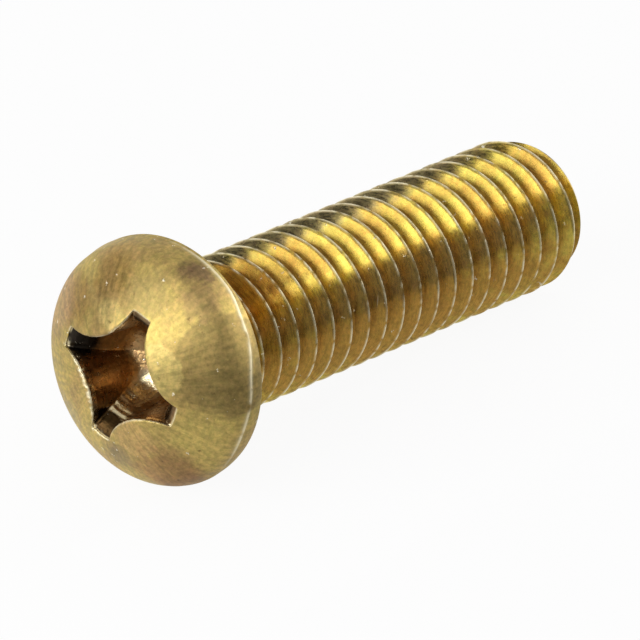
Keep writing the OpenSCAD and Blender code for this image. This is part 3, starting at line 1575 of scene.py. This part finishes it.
RECESS_FINISH = Finish(
    name="punched_recess",
    colour=(0.4, 0.25, 0.11),
    tarnish=(0.32, 0.18, 0.07),
    roughness=0.3,
    grain=0.0,
    lines=6.0,
    bits=6.0,
    mark_depth=0.025,
    streak=0.06,
    mottle=0.15,
    stains_and_painted_light=(
        # painted highlight: lightens the dim foot of the torn wing
        StainAndPaintedLight("painted light, foot of the torn wing", (1.15, 0.42, -0.6), 0.75, (0.55, 0.44, 0.27), 0.9, 0.8, 0.6),
        # painted light: the recess floor made paler where light falls in
        StainAndPaintedLight("painted light, recess floor", (-0.4, -0.3, -0.2), 0.8, (0.4, 0.31, 0.18), 0.7, 1.2, 0.3),
        # painted shade and shadow: the four wings of the recess are darkened where shade falls
        StainAndPaintedLight("painted shadow, outer end of the bottom wing", (2.4, 0.73, -2.45), 0.95, (0.05, 0.028, 0.01), 1.0, 0.3, 0.75),
        StainAndPaintedLight("painted black shade, left wing", (-0.8, 2.5, -2.1), 1.05, (0.025, 0.02, 0.015), 1.0, 0.4, 0.6),
        StainAndPaintedLight("painted dark shade, right wing", (0.6, -2.0, -1.8), 1.2, (0.1, 0.06, 0.025), 0.95, 0.4, 0.6),
        StainAndPaintedLight("painted brown shade, top wing", (-2.0, -0.6, -1.8), 1.4, (0.13, 0.09, 0.045), 0.85, 0.8, 0.6),
    ),
    # worn colour: bare brass, and the painted highlights on the edge and the torn wing
    worn=(0.98, 0.84, 0.52),
    worn_rough=-0.08,
    specks=(
        # painted glints: these pale raised specks stand for sparkles as well as burrs
        Specks(5.0, 0.15, 0.2, PALE, 0.8, -0.02),
        Specks(4.0, 0.35, 0.25, DARK, 0.7, 0.02),
        Specks(0.6, 0.5, 0.035, PALE, 0.8, -0.01, (0.9, 0.2, 0.4)),
    ),
)


@dataclass(frozen=True)
class Bar:
    """A bar of bare brass and painted highlight across the torn wing, by distances from the axis."""

    level: float
    rise: Pair
    fall: Pair
    streaked: bool = True


@dataclass
class WearAndHighlight:
    """Where the brass is worn bright, and where highlights are painted with it: the crests, the rim and
    the edge of the recess.

    Widths and reaches are where a worn place starts to fade and where it has faded, patches
    and beads are the values of a noise between which it sets in, and turns are in degrees.
    """

    head: Head
    shank: Shank
    thread_z: float = 0.3
    recess_r: float = 2.1
    recess_deep: float = 0.3
    crown_r: float = 3.6
    rim_z: float = -0.1
    crest_below: Pair = (0.03, 0.01)
    bead_scale: float = 6.0
    beads: Pair = (-0.5, 0.0)
    edge_off: float = 0.01
    edge_width: Pair = (0.01, 0.08)
    edge_level: float = 0.6
    burr_turn: float = 62.0
    burr_reach: Pair = (30.0, 48.0)
    burr_width: Pair = (0.05, 0.18)
    burr_scale: float = 7.0
    burr_patches: Pair = (-0.2, 0.15)
    crease_turn: float = -115.0
    crease_reach: Pair = (40.0, 75.0)
    crease_width: Pair = (0.03, 0.1)
    crease_level: float = 0.7
    patch_scale: float = 2.5
    patches: Pair = (-0.64, -0.04)
    torn_share: float = 0.45
    torn_top: float = -0.1
    streak_scale: tuple[float, float] = (1.6, 8.0)
    streak_cut: float = 3.0
    streaks: Pair = (-0.1, 0.12)
    streak_least: float = 0.35
    bars: tuple[Bar, ...] = (
        Bar(1.0, (0.9, 1.0), (1.3, 1.5)),
        Bar(0.7, (1.3, 1.45), (1.56, 1.6)),
        Bar(0.75, (1.68, 1.72), (1.95, 1.98), streaked=False),
    )

    def __post_init__(self) -> None:
        """Read the edge of the recess as distances from the axis by direction."""
        edge = self.head.recess.outline(0)
        ring = sorted((math.atan2(point.y, point.x), point.length) for point in edge)
        self.edge_angles = [angle for angle, _ in ring]
        self.edge_radii = [radius for _, radius in ring]

    def _crest(self, place: Vector) -> float:
        """Tell how worn a place on the thread is, in beads along its crest, where the pale colour also
        stands for the crests' painted glints.

        Args:
            place: The place.

        Returns:
            0 where it is sound, up to 1 where it is bare.
        """
        beads = rising(*self.beads, noise.noise(place * self.bead_scale))
        start, end = (self.shank.crest_r - below for below in self.crest_below)
        return beads * rising(start, end, place.xy.length)

    def _edge(self, place: Vector) -> float:
        """Tell how worn a place near the edge of the recess is, with the burr on one lobe; the pale
        colour there is also a painted highlight on the edge.

        Args:
            place: The place.

        Returns:
            0 where it is sound, up to 1 where it is bare.
        """
        index = bisect(self.edge_angles, math.atan2(place.y, place.x)) % len(self.edge_angles)
        off = abs(place.xy.length - self.edge_radii[index] - self.edge_off)
        worn = self.edge_level * falling(*self.edge_width, off)
        burred = falling(*self.burr_reach, abs(bearing(place) - self.burr_turn))
        patches = rising(*self.burr_patches, noise.noise(place * self.burr_scale))
        return max(worn, burred * falling(*self.burr_width, off) * patches)

    def _crease(self, place: Vector) -> float:
        """Tell how much painted highlight a place on the rim has, along the worn crease.

        Args:
            place: The place.

        Returns:
            0 where it is sound, up to 1 where the crease's highlight is painted.
        """
        angle = bearing(place)
        off = abs(place.z - self.head.rim_wear.crease_height(angle))
        reach = falling(*self.crease_reach, abs(angle - self.crease_turn))
        return self.crease_level * falling(*self.crease_width, off) * reach

    def _torn(self, place: Vector) -> float:
        """Tell how worn a place in the recess is, where a driver has torn the rough wing, with bars of
        painted highlight on its lit part.

        Args:
            place: The place.

        Returns:
            0 where it is sound, up to 1 where it is bare.
        """
        recess = self.head.recess
        turn = math.radians(recess.turn + 90 * recess.rough_wing)
        local = Matrix.Rotation(-turn, 3, "Z") @ place
        if abs(local.y) > self.torn_share * recess.wing_w or local.z > self.torn_top:
            return 0.0
        along, across = self.streak_scale
        streaks = noise.noise(Vector((local.x * along, local.y * across, self.streak_cut)))
        streaks = blend(self.streak_least, 1.0, rising(*self.streaks, streaks))
        levels = []
        for bar in self.bars:
            level = bar.level * rising(*bar.rise, local.x) * falling(*bar.fall, local.x)
            levels.append(level * streaks if bar.streaked else level)
        return max(levels)

    def at(self, place: Vector) -> float:
        """Tell how worn a place on the standing screw is, with the highlights that are painted in the
        same mask.

        Args:
            place: The place, in millimetres.

        Returns:
            0 where it is sound, up to 1 where it is bare and where a highlight is painted.
        """
        radius = place.xy.length
        patches = rising(*self.patches, noise.noise(place * self.patch_scale))
        if place.z > self.thread_z:
            return self._crest(place) * patches
        if radius < self.crown_r:
            depth = place.z - self.head.crown_height(radius)
            if radius < self.recess_r and depth > self.recess_deep:
                return self._torn(place)
            if depth < self.recess_deep:
                return self._edge(place) * patches
        if place.z < self.rim_z and radius > self.head.shoulder_x:
            return self._crease(place) * patches
        return 0.0

    def mark(self, body: bpy.types.Object) -> None:
        """Write down how worn each vertex is, with its painted highlights.

        Args:
            body: The screw, still in millimetres.
        """
        wear_and_highlight = body.data.attributes.new("wear_and_highlight", "FLOAT", "POINT")
        wear_and_highlight.data.foreach_set("value", [self.at(vertex.co) for vertex in body.data.vertices])


@dataclass
class Screw:
    """The whole screw: the head and the shank as one piece of brass.

    The recess lies nearer to the axis than recess_r and below recess_top. Its finish starts
    where the worn edge has turned down by lip_share, or at least by lip_least. The neck is
    outside neck_r and above neck_z.
    """

    rest: Rest = field(default_factory=Rest)
    head: Head = field(default_factory=Head)
    shank: Shank = field(default_factory=Shank)
    flat_angle: float = 35.0
    recess_r: float = 3.1
    recess_top: float = 0.3
    lip_share: float = 0.75
    lip_least: float = 0.06
    neck_r: float = 2.0
    neck_z: float = -0.01

    def build(self) -> bpy.types.Object:
        """Model the screw, lay it down and let it stand for the CAD node.

        Returns:
            The finished piece.
        """
        body = self.head.build()
        join_solids(body, self.shank.build(), Join.ADD)
        body.name = "screw_body"
        weld(body)
        WearAndHighlight(self.head, self.shank).mark(body)
        self._dress(body)
        self.rest.lay(body)
        bpy.ops.object.shade_smooth_by_angle(angle=math.radians(self.flat_angle))
        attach(body, "root")
        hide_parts("screw")
        LOG.info("screw_body: %d faces", len(body.data.polygons))
        return body

    def _zone(self, place: Vector) -> Zone:
        """Tell which zone a place on the standing screw belongs to.

        Args:
            place: The place, in millimetres.

        Returns:
            The zone.
        """
        radius = place.xy.length
        if radius > self.recess_r or place.z > self.recess_top:
            return Zone.THREAD if place.z > 0 else Zone.HEAD
        lip = max(self.lip_least, self.lip_share * self.head.recess.lip_at(bearing(place)))
        if place.z < self.head.crown_height(radius) + lip:
            return Zone.HEAD
        return Zone.RECESS if place.z < self.neck_z or radius < self.neck_r else Zone.THREAD

    def _dress(self, body: bpy.types.Object) -> None:
        """Give each zone of the standing screw its finish.

        Args:
            body: The screw, still in millimetres.
        """
        effects = Effects(self.rest)
        finishes = {Zone.HEAD: HEAD_FINISH, Zone.THREAD: THREAD_FINISH, Zone.RECESS: RECESS_FINISH}
        body.data.materials.clear()
        for zone in Zone:
            body.data.materials.append(Coat(finishes[zone], effects).paint())
        for face in body.data.polygons:
            face.material_index = self._zone(face.center).value


@dataclass(frozen=True)
class Card:
    """A card of even brightness on the studio's sphere.

    Attributes:
        name: Name of the card.
        corners: Directions of its corners, as azimuths and elevations in degrees.
        level: Brightness, where 1 is white.
        lights: Whether it lights the scene, or only shows in the metal.
    """

    name: str
    corners: tuple[Pair, ...]
    level: float
    lights: bool = False


@dataclass(frozen=True)
class Mat:
    """A mat on the floor that only shows in the metal, by its edges along Y in metres."""

    name: str
    back: float
    front: float
    level: float


@dataclass
class Studio:
    """Floor, cards, mats, world and camera, round the place where the screw lies."""

    rest: Rest
    elevation: float = 27.16
    azimuth: float = -49.64
    lens: float = 675.0
    sensor: float = 36.0
    image: float = 640.0
    seat_pixel: tuple[float, float] = (167.98, 357.04)
    seat_depth: float = 0.438075
    world_level: float = 0.6
    floor_size: float = 4.0
    floor_colour: Colour = (0.9, 0.9, 0.9)
    floor_white: float = 0.93
    card_distance: float = 0.3
    cards: tuple[Card, ...] = (
        Card(
            "key",
            ((147, 4), (172, 2), (192, 16), (208, 27), (203, 35), (170, 38), (142, 36), (143, 28)),
            4.6,
            lights=True,
        ),
        Card("fill", ((25, 1), (78, 1), (78, 50), (25, 50)), 0.8, lights=True),
        Card("back_card", ((80, 1), (110, 1), (110, 52), (80, 52)), 1.4),
        Card("thread_flag", ((110, 1), (145, 1), (141, 28), (139, 42), (126, 48), (110, 56)), 0.06),
        Card(
            "front_flag",
            ((173, 1), (275, 1), (275, 44), (258, 43), (232, 39), (211, 28), (193, 15)),
            0.3,
        ),
        Card("side_card", ((-70, 1), (0, 1), (0, 45), (-70, 45)), 2.8),
    )
    mats: tuple[Mat, ...] = (
        Mat("dark_mat", -0.0105, -0.3, 0.31),
        Mat("under_mat", -0.001, -0.0105, 0.68),
    )
    mat_ends: Pair = (-0.3, 0.014)
    mat_height: float = 0.0001

    def camera(self) -> None:
        """Place the camera so that the bearing face's middle falls on its pixel."""
        turn = math.radians(self.azimuth)
        tilt = math.radians(self.elevation)
        back = Vector((
            math.sin(turn) * math.cos(tilt),
            -math.cos(turn) * math.cos(tilt),
            math.sin(tilt),
        ))
        right = Vector((0, 0, 1)).cross(back).normalized()
        up = back.cross(right)
        focal = self.lens / self.sensor * self.image
        aside, below = (
            (pixel - self.image / 2) / focal * self.seat_depth for pixel in self.seat_pixel
        )
        place = self.rest.seat - aside * right + below * up + self.seat_depth * back
        data = bpy.data.cameras.new("camera")
        data.lens = self.lens
        data.sensor_width = self.sensor
        camera = bpy.data.objects.new("camera", data)
        bpy.context.scene.collection.objects.link(camera)
        axes = Matrix((right, up, back)).transposed()
        camera.matrix_world = Matrix.Translation(place) @ axes.to_4x4()
        bpy.context.scene.camera = camera

    def _towards(self, azimuth: float, elevation: float) -> Vector:
        """Find a place on the studio's sphere.

        Args:
            azimuth: Its direction from +X, in degrees.
            elevation: Its angle above the floor, in degrees.

        Returns:
            The place.
        """
        turn = math.radians(azimuth)
        tilt = math.radians(elevation)
        return self.card_distance * Vector((
            math.cos(turn) * math.cos(tilt),
            math.sin(turn) * math.cos(tilt),
            math.sin(tilt),
        ))

    def _put_up(self, name: str, corners: list[Vector], level: float, lights: bool) -> None:
        """Put up a card or a mat.

        Args:
            name: Name of the card.
            corners: Its corners in turn, in metres.
            level: Brightness, where 1 is white.
            lights: Whether the card lights the scene, or only shows in the metal.
        """
        deselect_all()
        bpy.ops.mesh.primitive_circle_add(vertices=len(corners), fill_type="NGON")
        card = bpy.context.object
        card.name = name
        for vertex, corner in zip(card.data.vertices, corners):
            vertex.co = corner
        paint = bpy.data.materials.new(name)
        paint.use_nodes = True
        paint.node_tree.nodes.clear()
        graph = Graph(paint.node_tree)
        glow = graph.add("ShaderNodeEmission", {"Color": (1.0, 1.0, 1.0), "Strength": level})
        graph.add("ShaderNodeOutputMaterial", {"Surface": glow.outputs[0]})
        card.data.materials.append(paint)
        card.visible_camera = False
        card.visible_diffuse = lights
        card.visible_shadow = False

    def floor(self) -> None:
        """Lay the pale floor, which the camera and the metal see as nearly white."""
        deselect_all()
        bpy.ops.mesh.primitive_plane_add(size=self.floor_size, location=(0, 0, 0))
        floor = bpy.context.object
        floor.name = "floor"
        paint = bpy.data.materials.new("floor_paint")
        paint.use_nodes = True
        graph = Graph(paint.node_tree)
        shader = paint.node_tree.nodes["Principled BSDF"]
        graph.feed(shader.inputs["Base Color"], self.floor_colour)
        rays = graph.add("ShaderNodeLightPath").outputs
        mirrored = graph.math("ADD", rays["Is Glossy Ray"], rays["Is Transmission Ray"])
        seen = graph.math("ADD", rays["Is Camera Ray"], mirrored)
        glow = graph.add("ShaderNodeEmission", {"Color": (1.0, 1.0, 1.0)})
        both = graph.add("ShaderNodeMixShader", {
            0: graph.times(seen, self.floor_white),
            1: shader.outputs[0],
            2: glow.outputs[0],
        })
        graph.feed(paint.node_tree.nodes["Material Output"].inputs["Surface"], both.outputs[0])
        floor.data.materials.append(paint)

    def world(self) -> None:
        """Give the world an even white light."""
        world = bpy.data.worlds.new("studio")
        world.use_nodes = True
        background = world.node_tree.nodes["Background"]
        background.inputs["Color"].default_value = (1, 1, 1, 1)
        background.inputs["Strength"].default_value = self.world_level
        bpy.context.scene.world = world

    def build(self) -> None:
        """Set up floor, world, cards, mats and camera."""
        self.floor()
        self.world()
        for card in self.cards:
            corners = [self._towards(*corner) for corner in card.corners]
            self._put_up(card.name, corners, card.level, card.lights)
        left, right = self.mat_ends
        for mat in self.mats:
            corners = ((left, mat.back), (right, mat.back), (right, mat.front), (left, mat.front))
            places = [Vector((x, y, self.mat_height)) for x, y in corners]
            self._put_up(mat.name, places, mat.level, False)
        self.camera()


def main() -> None:
    """Build the screw and its studio."""
    logging.basicConfig(level=logging.INFO, format="%(name)s %(message)s")
    scene = bpy.context.scene
    scene.view_settings.view_transform = "Standard"
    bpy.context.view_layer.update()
    screw = Screw()
    screw.build()
    Studio(screw.rest).build()


if __name__ == "__main__":
    main()
